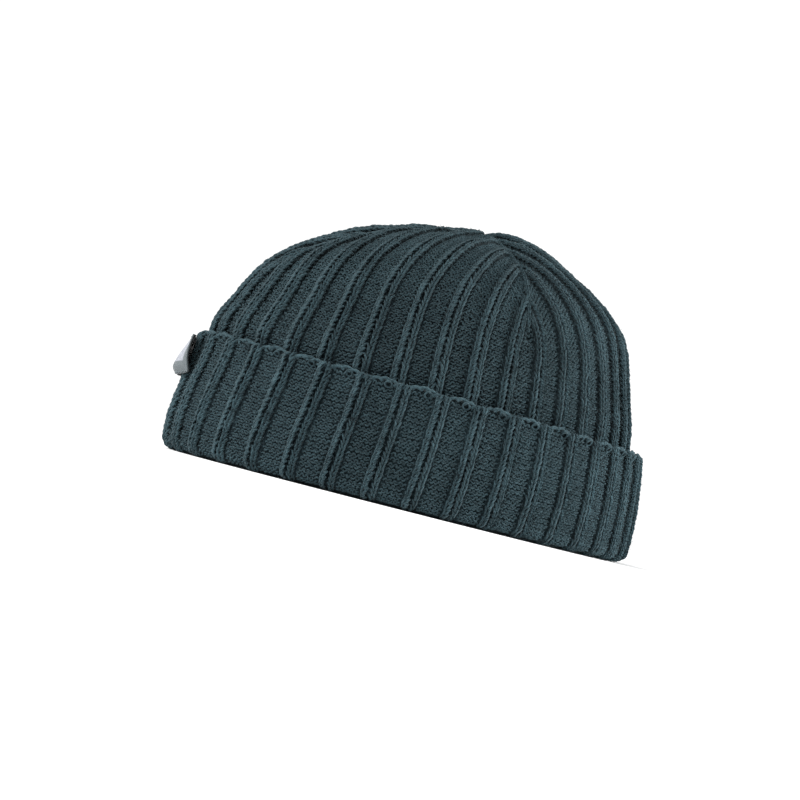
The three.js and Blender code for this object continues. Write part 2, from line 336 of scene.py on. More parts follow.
def makeCuffSurface(shape):
    tops = readCuffTop(ringAngles)
    heights, radii = castCuff(tops)
    spokes = spoke(ringAngles)
    lift, fold, edge = shape["foldLift"], shape["foldRound"], shape["edgeRound"]
    grid = []
    for column in range(ringColumns):
        top = tops[column]
        base = float(np.interp((lift + fold) / top, heights, radii[:, column]))
        line = [(base - shape["floorInset"], lift)]
        for turned in np.linspace(0, math.pi / 2, 13):
            line.append((base - fold + fold * math.sin(turned), lift + fold - fold * math.cos(turned)))
        for height in np.linspace(lift + fold * 1.2, top - edge * 1.1, 40):
            line.append((float(np.interp(height / top, heights, radii[:, column])), float(height)))
        lip = float(np.interp((top - edge) / top, heights, radii[:, column])) - edge
        for turned in np.linspace(0, shape["edgeTurn"], 9):
            line.append((lip + edge * math.cos(turned), top - edge + edge * math.sin(turned)))
        x, y = spokes[column]
        grid.append([(x * out, middleY + y * out, height) for out, height in line])
    grid = np.array(grid).transpose(1, 0, 2)
    return Surface(evenLevels(grid, shape["levels"])), tops


cuffSurface, cuffTops = makeCuffSurface(cuffShape)
print("cuff read, way up", round(cuffSurface.way, 4))

# Node tree helpers


def addSocket(tree, name, side, kind, default=None):
    socket = tree.interface.new_socket(name=name, in_out=side, socket_type=kind)
    if default is not None:
        socket.default_value = default
    return socket


def addNode(tree, kind, inputs=(), **settings):
    node = tree.nodes.new(kind)
    for name, value in settings.items():
        setattr(node, name, value)
    for key, value in dict(inputs).items():
        if isinstance(value, bpy.types.NodeSocket):
            tree.links.new(value, node.inputs[key])
        else:
            node.inputs[key].default_value = value
    return node


def calc(tree, operation, first, second=0.0):
    return addNode(tree, "ShaderNodeMath", {0: first, 1: second}, operation=operation).outputs[0]


def named(tree, name, kind):
    node = addNode(tree, "GeometryNodeInputNamedAttribute", {"Name": name}, data_type=kind)
    return node.outputs["Attribute"]


def keep(tree, geometry, name, value):
    node = addNode(tree, "GeometryNodeStoreNamedAttribute",
                   {"Geometry": geometry, "Name": name, "Value": value}, data_type="FLOAT", domain="POINT")
    return node.outputs[0]


def joined(tree, parts):
    node = tree.nodes.new("GeometryNodeJoinGeometry")
    for part in parts:
        tree.links.new(part, node.inputs[0])
    return node.outputs[0]


def sweepYarn(tree, line, sides, radius):
    # yarn along a line, with the way along it and round it kept for the material
    factor = addNode(tree, "GeometryNodeSplineParameter").outputs["Factor"]
    ring = addNode(tree, "GeometryNodeCurvePrimitiveCircle", {"Resolution": sides, "Radius": radius})
    ringFactor = addNode(tree, "GeometryNodeSplineParameter").outputs["Factor"]
    tube = addNode(tree, "GeometryNodeCurveToMesh", {
        "Curve": keep(tree, line, "along", factor),
        "Profile Curve": keep(tree, ring.outputs["Curve"], "around", ringFactor), "Fill Caps": True})
    return addNode(tree, "GeometryNodeSetShadeSmooth", {"Geometry": tube.outputs[0]}).outputs[0]


def yarnBow(tree, ends, steps, sides, radius, thinEnd):
    # a short length of yarn on a bowed line, thinner towards its ends
    line = addNode(tree, "GeometryNodeCurveQuadraticBezier", {
        "Resolution": steps, "Start": ends[0], "Middle": ends[1], "End": ends[2]})
    factor = addNode(tree, "GeometryNodeSplineParameter").outputs["Factor"]
    swell = calc(tree, "SINE", calc(tree, "MULTIPLY", factor, math.pi))
    thick = calc(tree, "ADD", calc(tree, "MULTIPLY", swell, 1 - thinEnd), thinEnd)
    line = addNode(tree, "GeometryNodeSetCurveRadius", {"Curve": line.outputs[0], "Radius": thick})
    return sweepYarn(tree, line.outputs[0], sides, radius)


def spot(tree, size, x, y, z):
    # a point given in shares of a stitch's width, height and depth
    node = addNode(tree, "ShaderNodeCombineXYZ", {
        "X": calc(tree, "MULTIPLY", size[0], x),
        "Y": calc(tree, "MULTIPLY", size[1], y),
        "Z": calc(tree, "MULTIPLY", size[2], z)})
    return node.outputs[0]


stitchSizes = {
    "width": 2.8 * mm,                  # a knit stitch, the two legs of a V
    "height": 2.2 * mm,
    "depth": 0.9 * mm,
    "yarn": 0.62 * mm,
    "purlWidth": 2.2 * mm,              # a purl stitch, a bump across the column
    "purlYarn": 0.40 * mm,
    "linkWidth": 3.4 * mm,              # a link of the first row along the cuff's edge
    "linkYarn": 0.78 * mm,
    "ringRadius": 1.4 * mm,             # the yarn round an eyelet
    "ringYarn": 0.45 * mm,
    "roughen": 0.40 * mm,               # unevenness of the yarn
}
stitchFaces = {"legSteps": 4, "legSides": 3, "purlSteps": 3, "purlSides": 3, "linkSteps": 5, "linkSides": 5,
               "ringSteps": 10, "ringSides": 4}
knitKind, purlKind, linkKind, ringKind = range(4)


def knitShape(tree, source):
    size = [source["width"], source["height"], source["depth"]]
    steps, sides = stitchFaces["legSteps"], stitchFaces["legSides"]
    legs = []
    for side in (-1, 1):
        ends = [spot(tree, size, side * 0.07, -0.74, -0.45),
                spot(tree, size, side * 0.25, -0.08, 1.25),
                spot(tree, size, side * 0.40, 0.80, -0.75)]
        legs.append(yarnBow(tree, ends, steps, sides, source["yarn"], 0.5))
    return joined(tree, legs)


def purlShape(tree, source):
    size = [source["purlWidth"], source["height"], source["depth"]]
    ends = [spot(tree, size, -0.50, -0.34, -0.95),
            spot(tree, size, 0.05, 0.52, 1.45),
            spot(tree, size, 0.50, -0.20, -0.95)]
    return yarnBow(tree, ends, stitchFaces["purlSteps"], stitchFaces["purlSides"], source["purlYarn"], 0.62)


def linkShape(tree, source):
    size = [source["linkWidth"], source["height"], source["depth"]]
    ends = [spot(tree, size, -0.62, -0.20, -0.9),
            spot(tree, size, 0.0, 0.18, 1.5),
            spot(tree, size, 0.62, 0.10, -0.9)]
    return yarnBow(tree, ends, stitchFaces["linkSteps"], stitchFaces["linkSides"], source["linkYarn"], 0.6)


def ringShape(tree, source):
    ring = addNode(tree, "GeometryNodeCurvePrimitiveCircle", {
        "Resolution": stitchFaces["ringSteps"], "Radius": source["ringRadius"]})
    return sweepYarn(tree, ring.outputs["Curve"], stitchFaces["ringSides"], source["ringYarn"])


def stitchTree(name, material, shapes):
    # a shape on each point of its kind, made real, roughened and given its wool
    tree = bpy.data.node_groups.new(name, "GeometryNodeTree")
    addSocket(tree, "Geometry", "INPUT", "NodeSocketGeometry")
    for key, value in stitchSizes.items():
        addSocket(tree, key, "INPUT", "NodeSocketFloat", value)
    addSocket(tree, "Geometry", "OUTPUT", "NodeSocketGeometry")
    source = addNode(tree, "NodeGroupInput").outputs
    turned = addNode(tree, "FunctionNodeEulerToRotation", {0: named(tree, "turn", "FLOAT_VECTOR")})
    placed = []
    for kind, shape in shapes.items():
        chosen = addNode(tree, "FunctionNodeCompare", {2: named(tree, "kind", "INT"), 3: kind},
                         data_type="INT", operation="EQUAL")
        copies = addNode(tree, "GeometryNodeInstanceOnPoints", {
            "Points": source["Geometry"], "Selection": chosen.outputs[0], "Instance": shape(tree, source),
            "Rotation": turned.outputs[0], "Scale": named(tree, "size", "FLOAT_VECTOR")})
        placed.append(copies.outputs[0])
    real = addNode(tree, "GeometryNodeRealizeInstances", {"Geometry": joined(tree, placed)})
    noise = addNode(tree, "ShaderNodeTexNoise", {
        "Vector": addNode(tree, "GeometryNodeInputPosition").outputs[0], "Scale": 640.0, "Detail": 1.0})
    centred = addNode(tree, "ShaderNodeVectorMath", {0: noise.outputs["Color"], 1: (0.5, 0.5, 0.5)},
                      operation="SUBTRACT")
    shift = addNode(tree, "ShaderNodeVectorMath", {0: centred.outputs[0], "Scale": source["roughen"]},
                    operation="SCALE")
    rough = addNode(tree, "GeometryNodeSetPosition", {
        "Geometry": real.outputs[0], "Offset": shift.outputs[0]})
    dressed = addNode(tree, "GeometryNodeSetMaterial", {"Geometry": rough.outputs[0], "Material": material})
    addNode(tree, "NodeGroupOutput", {0: dressed.outputs[0]})
    return tree


pressedAt = 0.03 * mm                   # yarn is pressed flat where the fold rests on the floor


def socketId(tree, name):
    return next(item.identifier for item in tree.interface.items_tree
                if item.name == name and item.in_out == "INPUT")


def runTree(pieceName, guide, tree, values):
    # the guide goes through the tree, and the result comes out as a plain mesh
    holder = bpy.data.objects.new(guide.name, guide)
    scene.collection.objects.link(holder)
    modifier = holder.modifiers.new("make", "NODES")
    modifier.node_group = tree
    for name, value in values.items():
        modifier[socketId(tree, name)] = value
    bpy.context.view_layer.update()
    graph = bpy.context.evaluated_depsgraph_get()
    mesh = bpy.data.meshes.new_from_object(holder.evaluated_get(graph))
    mesh.name = pieceName
    places = np.empty(3 * len(mesh.vertices), np.float32)
    mesh.vertices.foreach_get("co", places)
    places[2::3] = np.maximum(places[2::3], pressedAt)
    mesh.vertices.foreach_set("co", places)
    mesh.update()
    piece = bpy.data.objects.new(pieceName, mesh)
    scene.collection.objects.link(piece)
    bpy.data.objects.remove(holder)
    bpy.data.meshes.remove(guide)
    return piece


def finishPiece(piece, replaced=()):
    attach(piece, "root")
    if replaced:
        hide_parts(*replaced)
    triangles = sum(len(face.vertices) - 2 for face in piece.data.polygons)
    lowest = min(vertex.co.z for vertex in piece.data.vertices) / mm
    print(piece.name, triangles, "triangles, lowest point", round(lowest, 2), "mm")
    return piece


# Materials

woolLooks = {
    # the first colour is the dark end of the fibre mottle, and also the painted shade on the solid knit that
    # shows between the stitches
    "crown": {"deep": (0.0040, 0.0090, 0.0112), "light": (0.044, 0.080, 0.094), "rough": 0.95, "sheen": 0.10},
    # the cuff's wool is a lighter copy of the crown's, though both are one yarn: painted light that lifts the
    # cuff
    "cuff": {"deep": (0.0040, 0.0095, 0.0120), "light": (0.049, 0.090, 0.106), "rough": 0.95, "sheen": 0.10},
    # the loose fibres are about twice as light as the yarn they stand off: painted light caught in the fuzz
    "fuzz": {"deep": (0.030, 0.050, 0.058), "light": (0.085, 0.124, 0.137), "rough": 0.95, "sheen": 0.10},
}


def yarnGroup():
    # colour and height of wool yarn: mottled fibres, slow patches, and plies that wind round it; where a
    # piece carries no tone, the colour sinks to the dark end, which is painted shade on the solid knit
    # between the stitches
    tree = bpy.data.node_groups.new("woolYarn", "ShaderNodeTree")
    addSocket(tree, "Deep", "INPUT", "NodeSocketColor")
    addSocket(tree, "Light", "INPUT", "NodeSocketColor")
    addSocket(tree, "Fibre scale", "INPUT", "NodeSocketFloat", 1100.0)
    addSocket(tree, "Mottle", "INPUT", "NodeSocketFloat", 2.2)
    addSocket(tree, "Color", "OUTPUT", "NodeSocketColor")
    addSocket(tree, "Height", "OUTPUT", "NodeSocketFloat")
    source = addNode(tree, "NodeGroupInput").outputs
    place = addNode(tree, "ShaderNodeTexCoord").outputs["Object"]
    fibres = addNode(tree, "ShaderNodeTexNoise", {
        "Vector": place, "Scale": source["Fibre scale"], "Detail": 4.0, "Roughness": 0.65})
    patches = addNode(tree, "ShaderNodeTexNoise", {"Vector": place, "Scale": 38.0, "Detail": 2.0})
    # the solid knit under the stitches has no tone, which reads as 0: painted shade between the stitches
    tone = addNode(tree, "ShaderNodeAttribute", attribute_name="tone").outputs["Fac"]
    along = addNode(tree, "ShaderNodeAttribute", attribute_name="along").outputs["Fac"]
    around = addNode(tree, "ShaderNodeAttribute", attribute_name="around").outputs["Fac"]
    twist = calc(tree, "ADD", calc(tree, "MULTIPLY", along, 1.6), around)
    plies = calc(tree, "SINE", calc(tree, "MULTIPLY", twist, 2 * fullTurn))
    mottle = calc(tree, "MULTIPLY", calc(tree, "SUBTRACT", fibres.outputs[0], 0.5), source["Mottle"])
    patchy = calc(tree, "MULTIPLY", calc(tree, "SUBTRACT", patches.outputs[0], 0.5), 0.7)
    mix = calc(tree, "ADD", calc(tree, "ADD", mottle, patchy), tone)
    mix = calc(tree, "ADD", mix, calc(tree, "MULTIPLY", plies, 0.10))
    blend = addNode(tree, "ShaderNodeMix", {0: mix, 6: source["Deep"], 7: source["Light"]},
                    data_type="RGBA", clamp_factor=True)
    height = calc(tree, "ADD", calc(tree, "MULTIPLY", plies, 0.6), fibres.outputs[0])
    addNode(tree, "NodeGroupOutput", {"Color": blend.outputs[2], "Height": height})
    return tree


yarnNodes = yarnGroup()


def newMaterial(name):
    material = bpy.data.materials.new(name)
    material.use_nodes = True
    return material, material.node_tree, material.node_tree.nodes["Principled BSDF"]


def woolMaterial(name, looks, bump):
    material, tree, shader = newMaterial(name)
    yarn = addNode(tree, "ShaderNodeGroup", node_tree=yarnNodes)
    yarn.inputs["Deep"].default_value = (*looks["deep"], 1)
    yarn.inputs["Light"].default_value = (*looks["light"], 1)
    tree.links.new(yarn.outputs["Color"], shader.inputs["Base Color"])
    bumps = addNode(tree, "ShaderNodeBump", {
        "Strength": bump, "Distance": 0.3 * mm, "Height": yarn.outputs["Height"]})
    tree.links.new(bumps.outputs[0], shader.inputs["Normal"])
    shader.inputs["Roughness"].default_value = looks["rough"]
    shader.inputs["Specular IOR Level"].default_value = 0.15
    shader.inputs["Sheen Weight"].default_value = looks["sheen"]
    shader.inputs["Sheen Roughness"].default_value = 0.4
    shader.inputs["Sheen Tint"].default_value = (0.72, 0.86, 0.9, 1)
    return material


crownWool = woolMaterial("crownWool", woolLooks["crown"], 0.7)
cuffWool = woolMaterial("cuffWool", woolLooks["cuff"], 0.7)
fuzzWool = woolMaterial("fuzzWool", woolLooks["fuzz"], 0.0)

# Relief of the knit, in pitches across and metres out from the mean surface

relief = {
    "crest": -0.75 * mm,                # the solid knit under a rib
    "valley": -2.65 * mm,               # and under the panel between two ribs
    "cuffValley": -2.2 * mm,
    "knit": 0.05 * mm,                  # middles of the knit stitches
    "purl": -1.65 * mm,                 # middles of the purl stitches
    "cuffPurl": -1.45 * mm,
    "nearDart": -1.3 * mm,              # where a rib runs out in a dart
    "chain": -0.75 * mm,                # the chain along a dart
    "apexSolid": -1.0 * mm,             # the knit closes up where the darts meet
    "apexStitch": -0.1 * mm,
    "swell": 0.25 * mm,
    "tilt": math.radians(24),           # a rib's two columns turn away from each other
}
crownColumns = {
    "rib": [(-0.119, 0.188, -1), (0.119, 0.188, 1)],
    "purls": [0.29, 0.43, 0.57, 0.71],
    "between": [0.36, 0.5, 0.64],
    "purlWidth": 0.145,
    "chainWidth": 0.17,                 # of the stitches along a dart
}
cuffColumns = {
    "rib": [(-0.107, 0.162, -1), (0.107, 0.162, 1)],
    "purls": [0.26, 0.38, 0.5, 0.62, 0.74],
    "between": [0.32, 0.44, 0.56, 0.68],
    "purlWidth": 0.124,
}


def ribShape(across, reach):
    # 1 on a rib, 0 on the panel between ribs, with a groove along the rib's middle
    rib = np.round(across)
    off = np.abs(across - rib)
    crest = 1 - smoothStep((off - 0.14) / 0.09)
    groove = 0.8 * np.exp(-(off / 0.03) ** 2)
    room = smoothStep((reach - np.abs(rib) - 0.1) / 0.2)
    return (crest - groove) * room


def goreOf(angle, level):
    turned = ((evenAngle(angle) - knitPlan["dartAngle"]) / goreAngle) % knitPlan["gores"]
    return (turned - np.floor(turned) - 0.5) * 2 * reachAt(level)


def gathered(level):
    # 1 at the apex, 0 further down
    return 1 - smoothStep((reachAt(level) - 0.25) / 0.9)


def leanAt(height):
    return math.tan(knitPlan["cuffLean"]) * height / (crownSize.y / 2)


def cuffAcross(angle, height):
    return (evenAngle(angle - leanAt(height)) - knitPlan["dartAngle"]) / pitchAngle - 0.5


def ringFaces(first, second, count):
    around = range(count)
    return [(first + i, first + (i + 1) % count, second + (i + 1) % count, second + i) for i in around]


def capFaces(ring, tip, count):
    return [(ring + i, ring + (i + 1) % count, tip) for i in range(count)]


def newPiece(name, points, faces, material=None):
    mesh = bpy.data.meshes.new(name)
    mesh.from_pydata([tuple(point) for point in points], [], faces)
    if material:
        mesh.materials.append(material)
    mesh.shade_smooth()
    mesh.update()
    piece = bpy.data.objects.new(name, mesh)
    scene.collection.objects.link(piece)
    return piece


# The solid knit of the crown, under its stitches; it carries no tone, so its wool is near the dark end:
# painted shade in the gaps between stitches

crownShell = {"columns": 252, "rows": 84, "liningRows": 44, "topLevel": 0.992, "liningRelief": 0.9 * mm}


def crownOuter(angles, steps, offset):
    rings = []
    for level in np.linspace(*steps):
        levels = np.full(len(angles), level)
        rise = ribShape(goreOf(angles, levels), reachAt(levels))
        push = offset["valley"] + (offset["crest"] - offset["valley"]) * rise
        push = push + (relief["apexSolid"] - push) * gathered(levels)
        rings.append(crownSurface.point(levels, angles) + crownSurface.normal(levels, angles) * push[:, None])
    return rings


def makeCrownKnit(settings):
    count = settings["columns"]
    angles = np.arange(count) / count * fullTurn
    rings = crownOuter(angles, (0, settings["topLevel"], settings["rows"]), relief)
    inner = []
    for level in np.linspace(0, settings["topLevel"], settings["liningRows"]):
        levels = np.full(count, level)
        rise = ribShape(goreOf(angles, levels) + 0.5, reachAt(levels) + 1) * settings["liningRelief"]
        push = (0.3 * mm - rise)[:, None]
        inner.append(crownLining.point(levels, angles) + crownLining.normal(levels, angles) * push)
    points = np.concatenate(rings + inner + [rings[-1].mean(axis=0)[None], inner[-1].mean(axis=0)[None]])
    innerStart = len(rings) * count
    faces = []
    for row in range(len(rings) - 1):
        faces += ringFaces(row * count, (row + 1) * count, count)
    for row in range(len(inner) - 1):
        faces += ringFaces(innerStart + (row + 1) * count, innerStart + row * count, count)
    faces += ringFaces(innerStart, 0, count)
    faces += capFaces((len(rings) - 1) * count, len(points) - 2, count)
    lastInner = innerStart + (len(inner) - 1) * count
    faces += [(b, a, tip) for a, b, tip in capFaces(lastInner, len(points) - 1, count)]
    return newPiece("crownKnit", points, faces, crownWool)


finishPiece(makeCrownKnit(crownShell), ["crown"])

# The solid knit of the cuff; it carries no tone, so its wool is near the dark end: painted shade in the gaps
# between stitches

cuffShell = {"columns": 324, "rows": 44, "wallRows": 5, "crownGap": 0.5 * mm, "floorGap": 0.15 * mm}


def radiusOf(tree, angle, height, outside):
    x, y = spoke(np.array([angle]))[0]
    if outside:
        far = 0.2
        hit = tree.ray_cast(Vector((x * far, middleY + y * far, height)), Vector((-x, -y, 0)))[0]
    else:
        hit = tree.ray_cast(Vector((0, middleY, height)), Vector((x, y, 0)))[0]
    return math.hypot(hit.x, hit.y - middleY)


def makeCuffKnit(settings):
    count = settings["columns"]
    angles = np.arange(count) / count * fullTurn
    rings = []
    for level in np.linspace(0, 1, settings["rows"]):
        levels = np.full(count, level)
        points = cuffSurface.point(levels, angles)
        across = cuffAcross(angles, points[:, 2])
        fade = smoothStep((1 - level) / 0.05) * (0.35 + 0.65 * smoothStep((level - 0.1) / 0.15))
        rise = ribShape(across, np.abs(across) + fullReach)
        push = (relief["cuffValley"] + (relief["crest"] - relief["cuffValley"]) * rise) * fade
        ring = points + cuffSurface.normal(levels, angles) * push[:, None]
        sink = 1 - smoothStep((level - 0.02) / 0.06)
        ring[:, 2] = ring[:, 2] * (1 - sink) + settings["floorGap"] * sink
        rings.append(ring)
    spokes = spoke(angles)
    lip = rings[-1]
    crownLow = 7 * mm
    for share in np.linspace(0, 1, settings["wallRows"]):
        height = (lip[:, 2] - 1 * mm) * (1 - share) + crownLow * share
        wall = np.array([radiusOf(crownTree, angle, z, True) for angle, z in zip(angles, height)])
        wall = wall + settings["crownGap"]
        rings.append(np.stack([spokes[:, 0] * wall, middleY + spokes[:, 1] * wall, height], -1))
    lining = np.array([radiusOf(cuffTree, angle, 4 * mm, False) for angle in angles])
    for inset, height in ((0.0, 5.6 * mm), (0.0, 3.4 * mm), (1.6 * mm, settings["floorGap"])):
        out = lining + inset
        rings.append(np.stack([spokes[:, 0] * out, middleY + spokes[:, 1] * out, np.full(count, height)], -1))
    faces = []
    for row in range(len(rings)):
        faces += ringFaces(row * count, ((row + 1) % len(rings)) * count, count)
    return newPiece("cuffKnit", np.concatenate(rings), faces, cuffWool)


finishPiece(makeCuffKnit(cuffShell), ["cuff"])

# Stitches


def turnsOf(across, up, out):
    x = np.arctan2(up[:, 2], out[:, 2])
    y = np.arcsin(np.clip(-across[:, 2], -1, 1))
    z = np.arctan2(across[:, 1], across[:, 0])
    return np.stack([x, y, z], -1)


class StitchRows:
    # the points of a piece, with the turn, size, kind and tone of each stitch
    def __init__(self):
        self.columns = {"point": [], "turn": [], "size": [], "kind": [], "tone": []}

    def add(self, kind, point, up, normal, size, tone, rng, tilt=0.0, loose=0.09):
        count = len(point)
        up = unit(up)
        across = unit(np.cross(up, normal))
        out = np.cross(across, up)
        lean = np.full(count, tilt) + rng.normal(0, 0.07, count)
        turn = rng.normal(0, loose, count)
        across = across * np.cos(lean)[:, None] - out * np.sin(lean)[:, None]
        out = np.cross(across, up)
        across = across * np.cos(turn)[:, None] + up * np.sin(turn)[:, None]
        up = np.cross(out, across)
        self.columns["point"].append(point + rng.normal(0, (0.02 + 0.5 * loose) * mm, (count, 3)))
        self.columns["turn"].append(turnsOf(across, up, out))
        self.columns["size"].append(size * rng.normal(1, 0.07, (count, 1)))
        self.columns["kind"].append(np.full(count, kind))
        self.columns["tone"].append(np.full(count, tone) + rng.normal(0, 0.08, count))

    def makePiece(self, name, tree):
        data = {key: np.concatenate(value) for key, value in self.columns.items()}
        guide = bpy.data.meshes.new(name + "Guide")
        guide.from_pydata([tuple(point) for point in data["point"]], [], [])
        kinds = {"turn": "FLOAT_VECTOR", "size": "FLOAT_VECTOR", "tone": "FLOAT", "kind": "INT"}
        for key, kind in kinds.items():
            layer = guide.attributes.new(key, kind, "POINT")
            values = data[key].astype(np.int32 if kind == "INT" else np.float32).ravel()
            layer.data.foreach_set("vector" if kind == "FLOAT_VECTOR" else "value", values)
        return finishPiece(runTree(name, guide, tree, stitchSizes))


# purl stitches and the edge links get a lighter tone than the knit stitches, though all are one yarn: painted
# light that lifts the sunken purl panels and the cuff's edge
tones = {"knit": 0.59, "purl": 0.74, "link": 0.74, "chain": 0.62}
looseness = {knitKind: 0.10, purlKind: 0.18}


def sizesFor(kind, wide, rise, pitch):
    base = stitchSizes["width"] if kind == knitKind else stitchSizes["purlWidth"]
    across = wide * pitch / base
    return np.stack([across, rise, np.clip(across, 0.8, 1.1)], -1)


def crownPlace(gore):
    middle = knitPlan["dartAngle"] + (gore + 0.5) * goreAngle

    def place(level, across):
        level = np.clip(level, 0, 1)
        angle = stretchKnit(middle + across / reachAt(level) * goreAngle / 2)
        return crownSurface.point(level, angle), crownSurface.normal(level, angle), angle
    return place


def cuffPlace(level, across):
    level = np.clip(level, 0, 1)
    start = stretchKnit(knitPlan["dartAngle"] + (across + 0.5) * pitchAngle)
    upright = cuffSurface.point(level, start)
    angle = start + leanAt(upright[:, 2])
    return cuffSurface.point(level, angle), cuffSurface.normal(level, angle), angle


def crownStitches(gore, rows):
    courses = int(round(crownSurface.way / knitPlan["course"]))
    step = 1 / courses
    place = crownPlace(gore)
    half = knitPlan["ribsPerGore"] // 2
    columns = []
    wide = crownColumns["purlWidth"]
    for rib in range(-half - 1, half + 1):
        if rib >= -half:
            columns += [(knitKind, rib + offset, width, side, 0)
                        for offset, width, side in crownColumns["rib"]]
        columns += [(purlKind, rib + offset, wide, 0, 0) for offset in crownColumns["purls"]]
        columns += [(purlKind, rib + offset, wide, 0, 1) for offset in crownColumns["between"]]
    for number, (kind, across, wide, side, sinker) in enumerate(columns):
        if across > fullReach + 0.01 or across < -fullReach + 0.01:
            continue                    # the middle column below a dart belongs to the gore before it
        level = (np.arange(courses) + 0.5 + 0.5 * sinker) * step
        sway = wave(level * 26, np.full(len(level), across * 0.9 + gore * 3), 11) * 0.035
        sway = sway * smoothStep((fullReach - abs(across)) / 1.0)
        point, normal, angle = place(level, across + sway)
        ring = np.round(angle / fullTurn * ringColumns).astype(int) % ringColumns
        room = reachAt(level) - abs(across)
        least = 0.4 * wide if kind == knitKind else 0.01
        inside = (room > least) | (level < dartLevel)
        shown = inside & (point[:, 2] > cuffTops[ring] - 7 * mm) & (level < knitPlan["lastLevel"])
        if not shown.any():
            continue
        before, after = place(level - step, across + sway)[0], place(level + step, across + sway)[0]
        away = smoothStep((room + 2 * (reachAt(level) > fullReach - 0.1)) / 0.3)
        full = relief["knit"] if kind == knitKind else relief["purl"]
        lift = relief["nearDart"] + (full - relief["nearDart"]) * away
        lift = lift + wave(level * 40, angle * 9, 5) * relief["swell"]
        lift = lift + (relief["apexStitch"] - lift) * gathered(level)
        point = point + normal * lift[:, None]
        rise = np.linalg.norm(after - before, axis=1) / 2 / stitchSizes["height"]
        size = sizesFor(kind, wide, rise, pitchAt(level, angle))
        rng = np.random.RandomState(1000 * gore + number)
        up = (before - after) if sinker else (after - before)
        tone = tones["knit"] if kind == knitKind else tones["purl"]
        rows.add(kind, point[shown], up[shown], normal[shown], size[shown], tone, rng,
                 side * relief["tilt"], looseness[kind])


def dartChain(gore, rows):
    # the smooth line of stitches that the ribs run out in
    courses = int(round(crownSurface.way / knitPlan["course"]))
    step = 1 / courses
    place = crownPlace(gore)
    level = (np.arange(courses) + 0.5) * step
    level = level[(reachAt(level) < fullReach - 0.12) & (level < knitPlan["lastLevel"])]
    across = reachAt(level)
    point, normal, angle = place(level, across)
    before = place(level - step, reachAt(level - step))[0]
    after = place(level + step, reachAt(level + step))[0]
    grown = smoothStep((fullReach - reachAt(level)) / 0.35)
    lift = relief["nearDart"] + (relief["chain"] - relief["nearDart"]) * grown
    lift = lift + (relief["apexStitch"] - lift) * gathered(level)
    point = point + normal * lift[:, None]
    rise = np.linalg.norm(after - before, axis=1) / 2 / stitchSizes["height"]
    wide = crownColumns["chainWidth"] * (0.5 + 0.5 * grown)
    size = sizesFor(knitKind, wide, rise, pitchAt(level, angle))
    rng = np.random.RandomState(700 + gore)
    rows.add(knitKind, point, after - before, normal, size, tones["chain"], rng)


stitchShapes = {knitKind: knitShape, purlKind: purlShape}
crownStitchTree = stitchTree("crownStitchTree", crownWool, stitchShapes)
for gore in range(knitPlan["gores"]):
    goreRows = StitchRows()
    crownStitches(gore, goreRows)
    dartChain(gore, goreRows)
    goreRows.makePiece(f"crownStitches{gore + 1}", crownStitchTree)
print("crown knitted")

# Stitches of the cuff, its first row along the free edge, and the eyelets below that row

edgePlan = {
    "lastLevel": 0.945,                 # the columns end below the first row
    "linkLevel": 0.972,
    "linksPerRib": 5,
    "linkLift": -0.3 * mm,
    "scallop": 0.75 * mm,               # the edge rises over each panel
    "ripple": 0.55 * mm,
    "eyelet": 0.62,                     # where the eyelet lies in each panel, in pitches from the rib
    "eyeletLevel": 0.935,
    "eyeletLift": -0.75 * mm,
    "eyeletRoom": 1.9 * mm,
}


def cuffStitches(firstRib, lastRib, rows):
    courses = int(round(cuffSurface.way / knitPlan["course"]))
    step = 1 / courses
    columns = [(knitKind, offset, width, side, 0) for offset, width, side in cuffColumns["rib"]]
    columns += [(purlKind, offset, cuffColumns["purlWidth"], 0, 0) for offset in cuffColumns["purls"]]
    columns += [(purlKind, offset, cuffColumns["purlWidth"], 0, 1) for offset in cuffColumns["between"]]
    for rib in range(firstRib, lastRib):
        hole = cuffPlace(np.array([edgePlan["eyeletLevel"]]), np.array([rib + edgePlan["eyelet"]]))[0]
        for number, (kind, offset, wide, side, sinker) in enumerate(columns):
            level = (np.arange(1, courses) + 0.4 + 0.5 * sinker) * step
            level = level[level < edgePlan["lastLevel"]]
            sway = wave(level * 7, np.full(len(level), rib * 0.8), 21) * 0.045
            across = rib + offset + sway
            point, normal, angle = cuffPlace(level, across)
            before, after = cuffPlace(level - step, across)[0], cuffPlace(level + step, across)[0]
            clear = np.ones(len(level), bool)
            if kind == purlKind:
                clear = np.linalg.norm(point - hole, axis=1) > edgePlan["eyeletRoom"]
            lift = relief["knit"] if kind == knitKind else relief["cuffPurl"]
            lift = lift * (0.25 + 0.75 * smoothStep((level - 0.1) / 0.15))
            lift = lift + wave(level * 9, angle * 9, 6) * relief["swell"] * smoothStep(level / 0.2)
            point = point + normal * lift[:, None]
            around = np.hypot(point[:, 0], point[:, 1] - middleY) * pitchAngle / crowding(angle)
            rise = np.linalg.norm(after - before, axis=1) / 2 / stitchSizes["height"]
            size = sizesFor(kind, wide, rise, around)
            rng = np.random.RandomState(5000 + rib * 10 + number)
            up = (before - after) if sinker else (after - before)
            tone = tones["knit"] if kind == knitKind else tones["purl"]
            rows.add(kind, point[clear], up[clear], normal[clear], size[clear], tone, rng,
                     side * relief["tilt"], looseness[kind])


cuffStitchTree = stitchTree("cuffStitchTree", cuffWool, stitchShapes)
cuffParts = 2
for part in range(cuffParts):
    cuffRows = StitchRows()
    cuffStitches(part * ribTotal // cuffParts, (part + 1) * ribTotal // cuffParts, cuffRows)
    cuffRows.makePiece(f"cuffStitches{part + 1}", cuffStitchTree)
print("cuff knitted")


